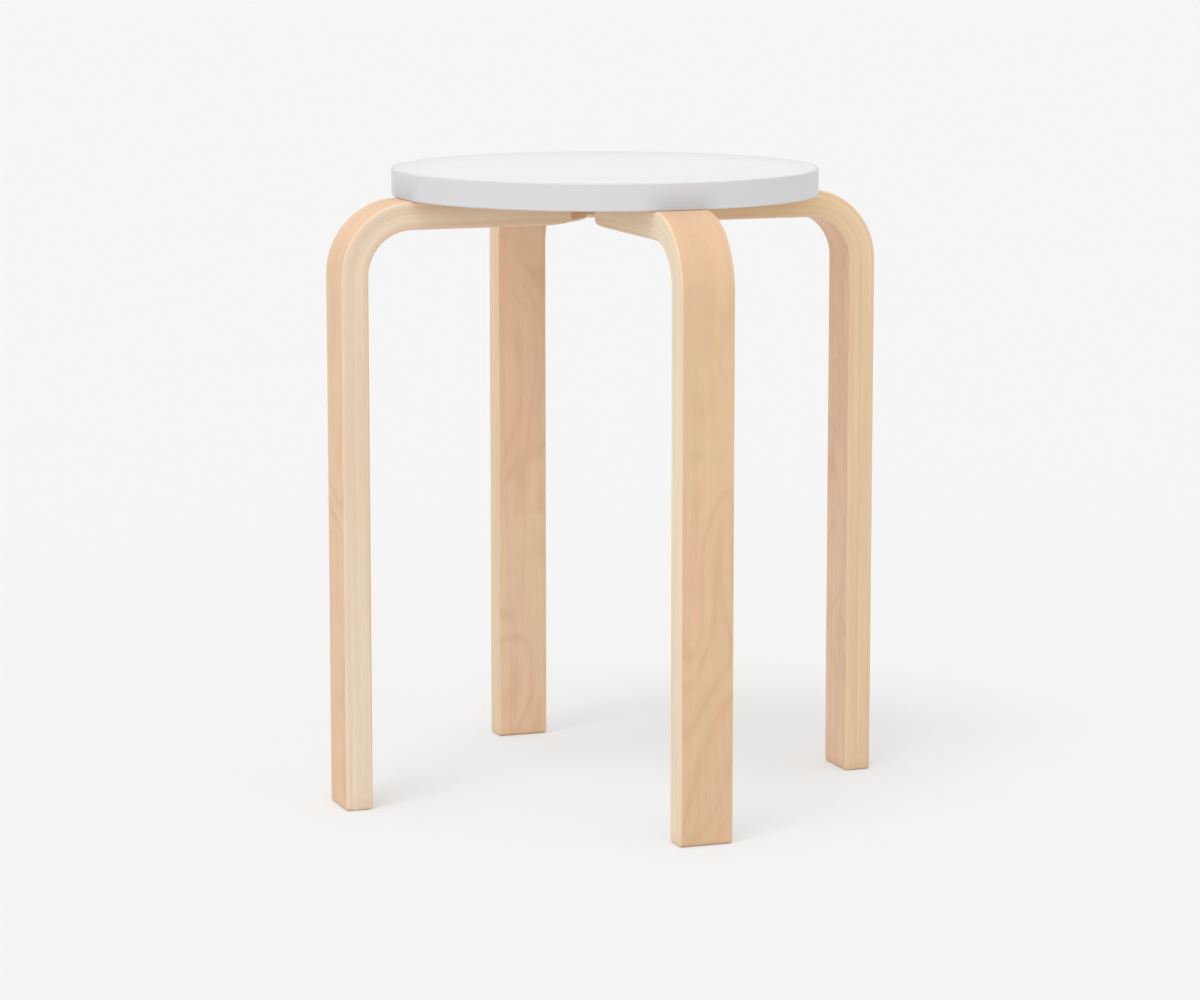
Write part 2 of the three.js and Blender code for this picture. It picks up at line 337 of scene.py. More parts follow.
def new_group(name, inputs, outputs):
    """A shader node group's wiring and input sockets. Inputs and outputs list names by socket kind."""
    tree = bpy.data.node_groups.new(name, "ShaderNodeTree")
    for way, sockets in (("INPUT", inputs), ("OUTPUT", outputs)):
        for kind, labels in sockets.items():
            for label in labels:
                tree.interface.new_socket(name=label, in_out=way, socket_type=f"NodeSocket{kind}")
    wiring = Wiring(tree)
    return wiring, wiring.add("NodeGroupInput").outputs


def finish_group(wiring, **results):
    wiring.add("NodeGroupOutput", by_label(results))
    return wiring.tree


def group_once(name, build):
    """The node group of that name, built the first time that it is asked for."""
    return bpy.data.node_groups.get(name) or build(name)


# Effects that several finishes share

# Where the corner, side and end masks of a leg start and end, by the lean of the surface
CORNER_RISE = (0.08, 0.45)
CORNER_FALL = (0.7, 0.98)
SIDE_RISE = (0.35, 0.85)
END_RISE = (0.5, 0.75)

# Scale of each pattern along and across the grain, and how far apart it lies from leg to leg
GRAIN_PATTERNS = {
    "figure": (8.0, 20.0, 3.7),
    "fading": (11.0, 24.0, 5.1),
    "flames": (95.0, 26.0, 2.3),
    "fibres": (16.0, 1500.0, 7.9),
    "pores": (260.0, 3600.0, 1.7),
    "streaks": (9.0, 280.0, 6.3),
    "blush": (7.0, 90.0, 3.1),
    "tone": (5.0, 30.0, 9.1),
}
GROWTH_WAVES = 54.0
GROWTH_SHARPNESS = 2.6
GROWTH_FADING = (0.38, 0.62)
PORE_RISE = (0.66, 0.74)
BLUSH_RISE = (0.42, 0.68)

# Waver of the veneers' edges and width of the glue lines, as shares of a veneer
PLY_WAVER = 0.12
PLY_WAVER_SCALE = 18.0
GLUE_FALL = (0.02, 0.09)

# How far apart the veneers' tones lie from leg to leg, and their scales through the stack and along it
PLY_APART = 17.3
SWEEP_APART = 4.3
SWEEP_DEPTH_SCALE = 0.42
SWEEP_LENGTH_SCALE = 5.0

# Share of a veneer's tone that runs on through its neighbours, and share that is its own
BROAD_TONE = 0.6
OWN_TONE = 0.4

# Share of broad and of fine mottling, and where handling marks start and end
BROAD_MOTTLE = 0.65
FINE_MOTTLE = 0.35
MARK_RISE = (0.4, 0.7)


def build_leg_measure(name):
    """Unrolls a bent leg: how deep in the stack, how far along it and how far across a point lies."""
    inputs = {
        "Vector": ["Position", "Normal"],
        "Float": ["Bend Reach", "Bend Height", "Inner Radius", "Middle Radius"],
    }
    outputs = {"Float": ["Depth", "Along", "Across", "Side Mask", "End Mask", "Corner Mask"]}
    nodes, given = new_group(name, inputs, outputs)
    x, y, z = nodes.split(given["Position"])
    normal_x, normal_y, normal_z = nodes.split(given["Normal"])
    past_bend = nodes.minus(x, given["Bend Reach"])
    above_bend = nodes.minus(z, given["Bend Height"])
    outward = nodes.math("MAXIMUM", past_bend, 0.0)
    upward = nodes.math("MAXIMUM", above_bend, 0.0)
    squares = nodes.plus(nodes.math("POWER", outward, 2.0), nodes.math("POWER", upward, 2.0))
    depth = nodes.minus(nodes.math("SQRT", squares), given["Inner Radius"])
    turn = nodes.math("ARCTAN2", upward, outward)
    along_bend = nodes.times(turn, given["Middle Radius"])
    along_leg = nodes.math("MINIMUM", above_bend, 0.0)
    along_arm = nodes.math("MAXIMUM", nodes.times(past_bend, -1.0), 0.0)
    along = nodes.plus(nodes.plus(along_leg, along_bend), along_arm)
    rise = nodes.times(normal_z, nodes.math("COSINE", turn))
    run = nodes.times(normal_x, nodes.math("SINE", turn))
    end = nodes.math("ABSOLUTE", nodes.minus(rise, run))
    side = nodes.math("ABSOLUTE", normal_y)
    corner = nodes.times(nodes.step(side, *CORNER_RISE), nodes.step(side, *CORNER_FALL, 1.0, 0.0))
    return finish_group(
        nodes,
        depth=depth,
        along=along,
        across=y,
        side_mask=nodes.step(side, *SIDE_RISE),
        end_mask=nodes.step(end, *END_RISE),
        corner_mask=corner,
    )


def build_birch_grain(name):
    """Figure, flames, fibres and pores of birch, through the whole thickness of the stack."""
    inputs = {"Float": ["Depth", "Along", "Across", "Seed"]}
    outputs = {"Float": ["Rings", "Flames", "Fibres", "Pores", "Streaks", "Blush", "Tone"]}
    nodes, given = new_group(name, inputs, outputs)

    def stretched(pattern):
        along_scale, across_scale, apart = GRAIN_PATTERNS[pattern]
        shift = nodes.times(given["Seed"], apart)
        length = nodes.plus(nodes.times(given["Along"], along_scale), shift)
        width = nodes.times(given["Across"], across_scale)
        depth = nodes.times(given["Depth"], across_scale)
        return nodes.join(length, width, depth)

    figure = nodes.noise(stretched("figure"), detail=1.0, distortion=0.3)
    wave = nodes.math("SINE", nodes.times(figure, GROWTH_WAVES))
    rings = nodes.math("POWER", nodes.scaled(wave, -1.0, 1.0, 0.0, 1.0), GROWTH_SHARPNESS)
    fading = nodes.step(nodes.noise(stretched("fading")), *GROWTH_FADING)
    pores = nodes.noise(stretched("pores"), detail=1.0)
    return finish_group(
        nodes,
        rings=nodes.times(rings, fading),
        flames=nodes.noise(stretched("flames")),
        fibres=nodes.noise(stretched("fibres"), detail=3.0, roughness=0.6),
        pores=nodes.step(pores, *PORE_RISE),
        streaks=nodes.noise(stretched("streaks")),
        blush=nodes.step(nodes.noise(stretched("blush")), *BLUSH_RISE),
        tone=nodes.noise(stretched("tone")),
    )


def build_ply_bands(name):
    """Tone of each veneer in the glued stack, and the glue lines between them."""
    inputs = {"Float": ["Depth", "Along", "Seed", "Ply Thickness"]}
    outputs = {"Float": ["Tone", "Glue"]}
    nodes, given = new_group(name, inputs, outputs)
    shift = nodes.times(given["Seed"], SWEEP_APART)
    run = nodes.join(nodes.times(given["Along"], PLY_WAVER_SCALE), shift, 0.0)
    waver = nodes.between(nodes.noise(run, detail=1.0), -PLY_WAVER, PLY_WAVER)
    place = nodes.plus(nodes.math("DIVIDE", given["Depth"], given["Ply Thickness"]), waver)
    ply = nodes.math("FLOOR", place)
    own_place = nodes.plus(ply, nodes.times(given["Seed"], PLY_APART))
    white = nodes.add("ShaderNodeTexWhiteNoise", {"W": own_place}, noise_dimensions="1D")
    through = nodes.times(place, SWEEP_DEPTH_SCALE)
    sweep = nodes.join(through, nodes.times(given["Along"], SWEEP_LENGTH_SCALE), shift)
    broad = nodes.spread(nodes.noise(sweep, detail=0.0), 0.0, BROAD_TONE)
    own = nodes.times(white.outputs["Value"], OWN_TONE)
    part = nodes.math("FRACT", place)
    from_glue = nodes.math("MINIMUM", part, nodes.minus(1.0, part))
    return finish_group(
        nodes,
        tone=nodes.plus(broad, own, clamp=True),
        glue=nodes.step(from_glue, *GLUE_FALL, 1.0, 0.0),
    )


def build_soft_variation(name):
    """Faint mottling, fine peel and handling marks of a smooth made surface."""
    inputs = {"Vector": ["Position"], "Color": ["Colour"], "Float": ["Mottle", "Peel Scale"]}
    outputs = {"Color": ["Colour"], "Float": ["Marks", "Peel"]}
    nodes, given = new_group(name, inputs, outputs)
    position = given["Position"]
    broad = nodes.times(nodes.noise(position, scale=14.0, detail=3.0), BROAD_MOTTLE)
    fine = nodes.times(nodes.noise(position, scale=420.0), FINE_MOTTLE)
    swing = nodes.times(nodes.minus(nodes.plus(broad, fine), 0.5), given["Mottle"])
    marks = nodes.noise(position, scale=31.0, detail=5.0, roughness=0.65)
    return finish_group(
        nodes,
        colour=nodes.shade(given["Colour"], nodes.plus(swing, 1.0)),
        marks=nodes.step(marks, *MARK_RISE),
        peel=nodes.noise(position, scale=given["Peel Scale"]),
    )


# Finishes

# Share of each mark's own colour that shows in the birch
GROWTH_LINES = 0.33
BLUSH = 0.35
VENEERS = 0.32
GLUE_LINES = 0.16
END_VENEERS = 0.5
FOOT_SCUFF = 0.3

# The outermost veneer takes a share of the broad face's colour, and fades over these depths in veneers
OUTER_VENEER = 0.3
OUTER_FALL = (0.9, 1.5)

# Most of the fibres' pattern lies between these values
FIBRE_RANGE = (0.25, 0.75)

# Levels between which each mark varies the birch, and how far others darken or lighten it
FLAME_SWING = 0.025
FIBRE_LEVELS = (0.96, 1.035)
STREAK_LEVELS = (0.975, 1.025)
TONE_LEVELS = (0.97, 1.03)
DARK_PORES = 0.1
# Painted highlight: how far the outer veneers and the rounded corners are lightened
VENEER_HIGHLIGHT = 0.05
CORNER_HIGHLIGHT = 0.08

# Scuffs at the foot
SCUFF_HEIGHT = 9 * MM
SCUFF_WAVER = 3 * MM

# How far each mark changes the roughness of the lacquer
FIBRE_SMOOTHER = 0.05
FIBRE_ROUGHER = 0.07
END_ROUGHER = 0.2
CORNER_SMOOTHER = 0.05

# Relief of the fibres and the glue lines, where a pore is 1 deep
FIBRE_RELIEF = 0.5
GLUE_RELIEF = 0.5

# Gloss of the lacquer
COAT = 0.05
COAT_ROUGHNESS = 0.35

# Specular level of the birch and the smooth sheets
SPECULAR = 0.35

# Mottling and roughness of each smooth sheet, and scale and depth of its peel
BOARDS = {
    "backing_laminate": (0.05, 0.55, 1500.0, 0.03 * MM),
    "white_laminate": (0.035, 0.34, 900.0, 0.01 * MM),
    "white_edging": (0.02, 0.4, 700.0, 0.012 * MM),
}

# Handling marks roughen a sheet or a metal by this much
BOARD_MARKS = 0.08
METAL_MARKS = 0.15

# How ragged the painted shade towards the laminate's far edge is
FAR_SHADE_SCALE = 26.0
FAR_SHADE_WAVER = 6 * MM

# Where the painted shade above a leg fades, in halves of the leg's width
LEG_SHADE_FALL = (0.5, 1.7)

# Chipboard: its chips are flatter than they are broad, and dust lies between them
CHIP_STRETCH = (1.0, 1.0, 2.6)
CHIP_LEVELS = (0.62, 1.12)
DUST_RANGE = (0.2, 0.8)
DUST_LEVELS = (0.85, 1.1)
CHIP_ROUGHNESS = (0.8, 0.95)

# How far the floor's mottling swings either way
FLOOR_SWING = 0.002


def new_material(name):
    """An empty material with a Principled shader, and its wiring."""
    material = bpy.data.materials.new(name)
    material.use_nodes = True
    material.node_tree.nodes.clear()
    nodes = Wiring(material.node_tree)
    out = nodes.add("ShaderNodeOutputMaterial")
    shader = nodes.add("ShaderNodeBsdfPrincipled")
    nodes.feed(out.inputs["Surface"], shader.outputs[0])
    return material, nodes, shader


def object_position(nodes):
    return nodes.add("ShaderNodeTexCoord").outputs["Object"]


def surface_of(nodes, shader, colour, roughness, relief, strength, depth):
    """Feeds a shader the colour, the roughness and the relief of its surface."""
    bump = nodes.add("ShaderNodeBump", {"Strength": strength, "Distance": depth, "Height": relief})
    nodes.feed(shader.inputs["Base Color"], colour)
    nodes.feed(shader.inputs["Roughness"], roughness)
    nodes.feed(shader.inputs["Normal"], bump.outputs[0])


def turned(nodes, vector, angle, kind):
    """A vector turned about the upright axis, so that x runs out along the leg's arm."""
    inputs = {"Vector": vector, "Rotation": (0.0, 0.0, -angle)}
    return nodes.add("ShaderNodeMapping", inputs, vector_type=kind).outputs[0]


def birch_material(leg, settings):
    """Clear lacquered birch veneers, glued and bent. The grain follows the bend of this leg."""
    material, nodes, shader = new_material(f"bent_birch_{LEG_NAMES[leg]}")
    angle = math.tau * leg / len(LEG_NAMES) - math.tau / 4
    seed = leg + 1.0
    coordinates = nodes.add("ShaderNodeTexCoord")
    outer_radius = settings.bend_inner_radius + settings.thickness
    position = turned(nodes, coordinates.outputs["Object"], angle, "POINT")
    measure = nodes.group(
        group_once("Leg Measure", build_leg_measure),
        position=position,
        normal=turned(nodes, coordinates.outputs["Normal"], angle, "VECTOR"),
        bend_reach=LEG_REACH - outer_radius,
        bend_height=ARM_TOP - outer_radius,
        inner_radius=settings.bend_inner_radius,
        middle_radius=settings.bend_inner_radius + settings.thickness / 2,
    )
    grain = nodes.group(
        group_once("Birch Grain", build_birch_grain),
        depth=measure["Depth"],
        along=measure["Along"],
        across=measure["Across"],
        seed=seed,
    )
    bands = nodes.group(
        group_once("Ply Bands", build_ply_bands),
        depth=measure["Depth"],
        along=measure["Along"],
        seed=seed,
        ply_thickness=settings.ply_thickness,
    )
    side, end = measure["Side Mask"], measure["End Mask"]

    # Broad faces: growth lines and flames over an even birch
    face_colour = getattr(settings, f"{LEG_NAMES[leg]}_face")
    lines = nodes.times(grain["Rings"], GROWTH_LINES * settings.figure)
    face = nodes.mix(lines, face_colour, settings.figure_colour)
    flame_swing = FLAME_SWING * settings.figure
    face = nodes.shade(face, nodes.spread(grain["Flames"], 1.0 - flame_swing, 1.0 + flame_swing))
    face = nodes.mix(nodes.times(grain["Blush"], BLUSH), face, settings.blush_colour)

    # Narrow sides: the veneers and their glue lines
    side_colour = getattr(settings, f"{LEG_NAMES[leg]}_side")
    plies = nodes.mix(nodes.times(bands["Tone"], VENEERS), side_colour, settings.figure_colour)
    plies = nodes.mix(nodes.times(bands["Glue"], GLUE_LINES), plies, settings.figure_colour)
    from_inside = nodes.minus(settings.thickness, measure["Depth"])
    from_face = nodes.math("MINIMUM", measure["Depth"], from_inside)
    outer_start, outer_end = (share * settings.ply_thickness for share in OUTER_FALL)
    outer = nodes.step(from_face, outer_start, outer_end, 1.0, 0.0)
    plies = nodes.mix(nodes.times(outer, OUTER_VENEER), plies, face_colour)

    # Ends: darker, with each veneer still to be seen
    ends = nodes.mix(nodes.times(bands["Tone"], END_VENEERS), settings.end_colour, settings.figure_colour)

    # Fibres, streaks and tone over all of it, darker pores, and a painted highlight on the rounded corners
    # and the outer veneers beside them
    fibre_level = nodes.scaled(grain["Fibres"], *FIBRE_RANGE, *FIBRE_LEVELS)
    streak_level = nodes.spread(grain["Streaks"], *STREAK_LEVELS)
    tone_level = nodes.spread(grain["Tone"], *TONE_LEVELS)
    level = nodes.times(nodes.times(fibre_level, streak_level), tone_level)
    level = nodes.minus(level, nodes.times(grain["Pores"], DARK_PORES))
    veneer_highlight = nodes.times(nodes.times(outer, side), VENEER_HIGHLIGHT)
    corner_highlight = nodes.times(measure["Corner Mask"], CORNER_HIGHLIGHT)
    level = nodes.plus(level, nodes.math("MAXIMUM", veneer_highlight, corner_highlight))
    colour = nodes.shade(nodes.mix(end, nodes.mix(side, face, plies), ends), level)

    # Scuffs at the foot
    height = nodes.split(position)[2]
    ragged = nodes.plus(height, nodes.spread(grain["Flames"], -SCUFF_WAVER, SCUFF_WAVER))
    scuff = nodes.step(ragged, 0.0, SCUFF_HEIGHT, FOOT_SCUFF, 0.0)
    colour = nodes.mix(scuff, colour, settings.end_colour)

    # Lacquer: rougher at the ends, smoother at the corners, which handling polishes
    smoothest, roughest = settings.roughness - FIBRE_SMOOTHER, settings.roughness + FIBRE_ROUGHER
    rough = nodes.scaled(grain["Fibres"], *FIBRE_RANGE, smoothest, roughest)
    rough = nodes.plus(rough, nodes.times(end, END_ROUGHER), clamp=True)
    rough = nodes.minus(rough, nodes.times(measure["Corner Mask"], CORNER_SMOOTHER))
    relief = nodes.minus(nodes.times(grain["Fibres"], FIBRE_RELIEF), grain["Pores"])
    relief = nodes.minus(relief, nodes.times(bands["Glue"], nodes.times(side, GLUE_RELIEF)))
    surface_of(nodes, shader, colour, rough, relief, strength=0.35, depth=0.06 * MM)
    shader.inputs["Specular IOR Level"].default_value = SPECULAR
    shader.inputs["Coat Weight"].default_value = COAT
    shader.inputs["Coat Roughness"].default_value = COAT_ROUGHNESS
    return material


def start_board(name, colour):
    """A smooth made sheet. Gives its material, wiring and shader, and its plain colour for further work."""
    mottle, roughness, peel_scale, peel_depth = BOARDS[name]
    material, nodes, shader = new_material(name)
    variation = nodes.group(
        group_once("Soft Variation", build_soft_variation),
        position=object_position(nodes),
        colour=colour,
        mottle=mottle,
        peel_scale=peel_scale,
    )
    plain = variation["Colour"]
    rough = nodes.between(variation["Marks"], roughness, roughness + BOARD_MARKS)
    surface_of(nodes, shader, plain, rough, variation["Peel"], strength=0.3, depth=peel_depth)
    shader.inputs["Specular IOR Level"].default_value = SPECULAR
    return material, nodes, shader, plain


def backing_material(settings):
    """The plain sheet under the seat."""
    return start_board("backing_laminate", settings.backing_colour)[0]


def laminate_material(settings):
    """The white top of the seat, with painted shade: greyer towards its far edge and in a darker line along
    its edge with the edging.
    """
    material, nodes, shader, plain = start_board("white_laminate", settings.laminate_colour)
    position = object_position(nodes)
    # Painted shade: greyer towards the far edge, away from an off-centre middle, and a darker line along the
    # rim
    uneven = nodes.spread(nodes.noise(position, scale=FAR_SHADE_SCALE), -FAR_SHADE_WAVER, FAR_SHADE_WAVER)
    off_middle = nodes.distance(position, (*settings.unshaded_middle, SEAT_TOP))
    farthest = BOARD_RADIUS + Vector(settings.unshaded_middle).length
    reached = nodes.plus(off_middle, uneven)
    far_shaded = nodes.step(reached, farthest - settings.far_shade_width, farthest, 0.0, settings.far_shade)
    off_axis = nodes.distance(position, (0.0, 0.0, SEAT_TOP))
    seam = nodes.step(off_axis, BOARD_RADIUS - settings.edge_shade_width, BOARD_RADIUS, 0.0, settings.seam)
    share = nodes.plus(far_shaded, seam, clamp=True)
    nodes.feed(shader.inputs["Base Color"], nodes.mix(share, plain, settings.painted_shade_colour))
    return material


def edging_material(settings):
    """The white band, with painted shade greyer low down above each leg, where the leg takes light away."""
    material, nodes, shader, plain = start_board("white_edging", settings.edging_colour)
    # Painted shade low down on the band above each leg
    x, y, z = nodes.split(object_position(nodes))
    across = nodes.math("MINIMUM", nodes.math("ABSOLUTE", x), nodes.math("ABSOLUTE", y))
    leg_shade_start, leg_shade_end = (share * LEG_HALF_WIDTH for share in LEG_SHADE_FALL)
    above_leg = nodes.step(across, leg_shade_start, leg_shade_end, 1.0, 0.0)
    low = nodes.step(z, SEAT_UNDERSIDE, SEAT_TOP, 1.0, 0.0)
    leg_shaded = nodes.times(above_leg, low)
    nodes.feed(shader.inputs["Base Color"], nodes.mix(leg_shaded, plain, settings.leg_shade_colour))
    return material


def chipboard_material(settings):
    """Pressed wood chips, light and dark, with fine dust between them."""
    material, nodes, shader = new_material("chipboard")
    inputs = {"Vector": object_position(nodes), "Scale": CHIP_STRETCH}
    stretched = nodes.add("ShaderNodeMapping", inputs).outputs[0]
    chips = nodes.cells(stretched, scale=330.0)
    tone = nodes.split(chips["Color"])[0]
    dust = nodes.noise(stretched, scale=1400.0, detail=3.0)
    dust_level = nodes.scaled(dust, *DUST_RANGE, *DUST_LEVELS)
    level = nodes.times(nodes.between(tone, *CHIP_LEVELS), dust_level)
    colour = nodes.shade(settings.chip_colour, level)
    rough = nodes.between(tone, *CHIP_ROUGHNESS)
    surface_of(nodes, shader, colour, rough, chips["Distance"], strength=0.6, depth=0.4 * MM)
    return material


def metal_material(name, colour, roughness, spangle):
    """Plated or turned metal with faint spangle and handling marks."""
    material, nodes, shader = new_material(name)
    position = object_position(nodes)
    variation = nodes.group(
        group_once("Soft Variation", build_soft_variation),
        position=position,
        colour=colour,
        mottle=0.12,
        peel_scale=5200.0,
    )
    grains = nodes.cells(position, scale=1600.0)
    glint = nodes.between(nodes.split(grains["Color"])[1], 1.0 - spangle, 1.0)
    shown = nodes.shade(variation["Colour"], glint)
    rough = nodes.between(variation["Marks"], roughness, roughness + METAL_MARKS)
    surface_of(nodes, shader, shown, rough, variation["Peel"], strength=0.25, depth=0.02 * MM)
    shader.inputs["Metallic"].default_value = 1.0
    return material


def background_rays(nodes):
    """One for the rays that see the background directly, in gloss or through glass."""
    rays = nodes.add("ShaderNodeLightPath").outputs
    shown = nodes.plus(rays["Is Camera Ray"], rays["Is Glossy Ray"])
    return nodes.plus(shown, rays["Is Transmission Ray"], clamp=True)


def floor_material(settings):
    """Pale matt floor that keeps the stool's shadow, painted cooler around the stool against the warm light
    that the wood bounces onto it.
    """
    material, nodes, shader = new_material("pale_floor")
    position = object_position(nodes)
    # Painted light: cooler around the stool, against the wood's warm bounce
    counter_bounce = nodes.step(nodes.distance(position, (0.0, 0.0, 0.0)), 0.0, settings.counter_bounce_reach, 1.0, 0.0)
    plain = nodes.mix(counter_bounce, settings.floor_colour, settings.counter_bounce_colour)
    mottle = nodes.between(nodes.noise(position, scale=3.0), 1.0 - FLOOR_SWING, 1.0 + FLOOR_SWING)
    colour = nodes.shade(plain, mottle)
    bounced = nodes.add("ShaderNodeLightPath").outputs["Is Diffuse Ray"]
    nodes.feed(shader.inputs["Base Color"], nodes.mix(bounced, colour, settings.bounce_colour))
    shader.inputs["Roughness"].default_value = 1.0
    shader.inputs["Specular IOR Level"].default_value = 0.0
    glow = nodes.add("ShaderNodeEmission", {"Color": settings.backdrop_colour})
    share = nodes.times(background_rays(nodes), settings.shadow_fade)
    blended = nodes.add("ShaderNodeMixShader", [share, shader.outputs[0], glow.outputs[0]])
    out = nodes.tree.get_output_node("ALL")
    nodes.feed(out.inputs["Surface"], blended.outputs[0])
    return material


# Meshes

# Edges that bend less are smooth, faces that bend less are one, and corners that lie closer are merged
SMOOTH_ANGLE = math.radians(36)
FLAT_ANGLE = math.radians(0.3)
MERGE_DISTANCE = 0.002 * MM

# Facets of the round forms
RING_STEPS = 288
BOLT_STEPS = 48
SOCKET_SIDES = 6
EASING_SEGMENTS = 2
EDGING_SEGMENTS = 5
HEAD_SEGMENTS = 4

# Share of the edging's corner radius that its bevel uses
EDGING_ROUND_SHARE = 0.98

# Depth of the thread in pitches, and how far its crest lies inside the plain shank
THREAD_DEPTH = 0.54
THREAD_PLAY = 0.03 * MM

# Width of the tip against the end of the thread
TIP_SHARE = 0.8

# Height of the socket's conical floor against its corner radius, and width at which its point closes
CONE_SHARE = 0.3
POINT_SHARE = 0.000002

# Turn of the socket from one bolt to the next
SOCKET_TURN = math.radians(37)


def build_soft_facets(name):
    """Geometry nodes that join a node's loose triangles and shade its rounded surfaces smoothly."""
    tree = bpy.data.node_groups.new(name, "GeometryNodeTree")
    tree.interface.new_socket(name="Geometry", in_out="INPUT", socket_type="NodeSocketGeometry")
    tree.interface.new_socket(name="Geometry", in_out="OUTPUT", socket_type="NodeSocketGeometry")
    nodes = Wiring(tree)
    start = nodes.add("NodeGroupInput").outputs[0]
    bare = nodes.add("GeometryNodeRemoveAttribute", {"Geometry": start, "Name": "custom_normal"}).outputs[0]
    inputs = {"Geometry": bare, "Distance": MERGE_DISTANCE}
    merged = nodes.add("GeometryNodeMergeByDistance", inputs).outputs["Geometry"]
    smooth = nodes.add("GeometryNodeSetShadeSmooth", {"Geometry": merged}, domain="FACE").outputs["Geometry"]
    bend = nodes.add("GeometryNodeInputMeshEdgeAngle").outputs["Unsigned Angle"]
    kinds = {"data_type": "FLOAT", "operation": "LESS_THAN"}
    gentle = nodes.add("FunctionNodeCompare", [bend, SMOOTH_ANGLE], **kinds).outputs[0]
    inputs = {"Geometry": smooth, "Shade Smooth": gentle}
    sharp = nodes.add("GeometryNodeSetShadeSmooth", inputs, domain="EDGE").outputs["Geometry"]
    nodes.add("NodeGroupOutput", [sharp])
    return tree


def finish_node(name, material, easing=0.0):
    """Gives a node of the frame its material and a smooth surface, and eases its edges where asked."""
    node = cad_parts[name]
    node.data.materials.clear()
    node.data.materials.append(material)
    facets = node.modifiers.new("Soft Facets", "NODES")
    facets.node_group = group_once("Soft Facets", build_soft_facets)
    flat = node.modifiers.new("Flat Faces", "DECIMATE")
    flat.decimate_type = "DISSOLVE"
    flat.angle_limit = FLAT_ANGLE
    if easing:
        eased = node.modifiers.new("Eased Edges", "BEVEL")
        eased.width = easing
        eased.segments = EASING_SEGMENTS
        eased.limit_method = "ANGLE"
        eased.angle_limit = SMOOTH_ANGLE
        eased.use_clamp_overlap = True
    add_weighted_normals(node)


def add_weighted_normals(piece):
    even = piece.modifiers.new("Even Shading", "WEIGHTED_NORMAL")
    even.mode = "FACE_AREA"
    even.keep_sharp = True


def place_object(name, data):
    made = bpy.data.objects.new(name, data)
    bpy.context.scene.collection.objects.link(made)
    return made


def finished_mesh(name, bm, material):
    mesh = bpy.data.meshes.new(name)
    bm.to_mesh(mesh)
    bm.free()
    mesh.materials.append(material)
    return mesh


def outline(bm, points, closed=False):
    """A line through points of radius and height in the XZ plane, ready to be spun."""
    corners = [bm.verts.new((radius, 0.0, height)) for radius, height in points]
    pairs = list(zip(corners, corners[1:]))
    if closed:
        pairs.append((corners[-1], corners[0]))
    return corners + [bm.edges.new(pair) for pair in pairs]


def spin(bm, geometry, steps, angle=math.tau, lift=0.0):
    """Turns geometry about the upright axis. A full turn without lift closes on itself."""
    return bmesh.ops.spin(
        bm,
        geom=geometry,
        cent=(0.0, 0.0, 0.0),
        axis=(0.0, 0.0, 1.0),
        dvec=(0.0, 0.0, lift),
        angle=angle,
        steps=steps,
        use_merge=(angle == math.tau and not lift),
    )["geom_last"]


def radius_of(vertex):
    return vertex.co.xy.length


def ring_edges(bm, radius, height, slack=MERGE_DISTANCE):
    """The edges of one level ring, by its radius and height."""
    return [
        edge
        for edge in bm.edges
        if all(abs(radius_of(v) - radius) < slack and abs(v.co.z - height) < slack for v in edge.verts)
    ]


def round_edges(bm, edges, radius, segments):
    bmesh.ops.bevel(
        bm,
        geom=edges,
        offset=radius,
        offset_type="OFFSET",
        segments=segments,
        profile=0.5,
        affect="EDGES",
        material=-1,
    )


def new_piece(name, bm, material, replaced):
    """The finished mesh as a piece that rides on the stool in place of a node of the frame."""
    bmesh.ops.remove_doubles(bm, verts=bm.verts, dist=MERGE_DISTANCE)
    bmesh.ops.recalc_face_normals(bm, faces=bm.faces)
    mesh = finished_mesh(name, bm, material)
    mesh.shade_smooth()
    mesh.set_sharp_from_angle(angle=SMOOTH_ANGLE)
    piece = place_object(name, mesh)
    add_weighted_normals(piece)
    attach(piece, ROOT)
    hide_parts(replaced)


def edging_mesh(settings):
    """A thin band bent round the board. Its ends meet at a hairline joint at the back."""
    inner = BOARD_RADIUS + settings.glue_line
    bm = bmesh.new()
    corners = [
        (inner, SEAT_UNDERSIDE),
        (SEAT_RADIUS, SEAT_UNDERSIDE),
        (SEAT_RADIUS, SEAT_TOP),
        (inner, SEAT_TOP),
    ]
    profile = outline(bm, corners, closed=True)
    half_gap = settings.joint_gap / 2 / SEAT_RADIUS
    bmesh.ops.rotate(bm, verts=bm.verts, matrix=Matrix.Rotation(math.tau / 4 + half_gap, 3, "Z"))
    spin(bm, profile, RING_STEPS, math.tau - 2 * half_gap)
    bmesh.ops.holes_fill(bm, edges=bm.edges, sides=len(profile))
    bmesh.ops.recalc_face_normals(bm, faces=bm.faces)
    rounding = EDGING_ROUND_SHARE * settings.edging_corner_radius
    for height in (SEAT_UNDERSIDE, SEAT_TOP):
        round_edges(bm, ring_edges(bm, SEAT_RADIUS, height), rounding, EDGING_SEGMENTS)
    return bm


def open_edges(bm, height):
    """The free edges that lie at one height."""
    return [
        edge
        for edge in bm.edges
        if edge.is_boundary and all(abs(v.co.z - height) < MERGE_DISTANCE for v in edge.verts)
    ]


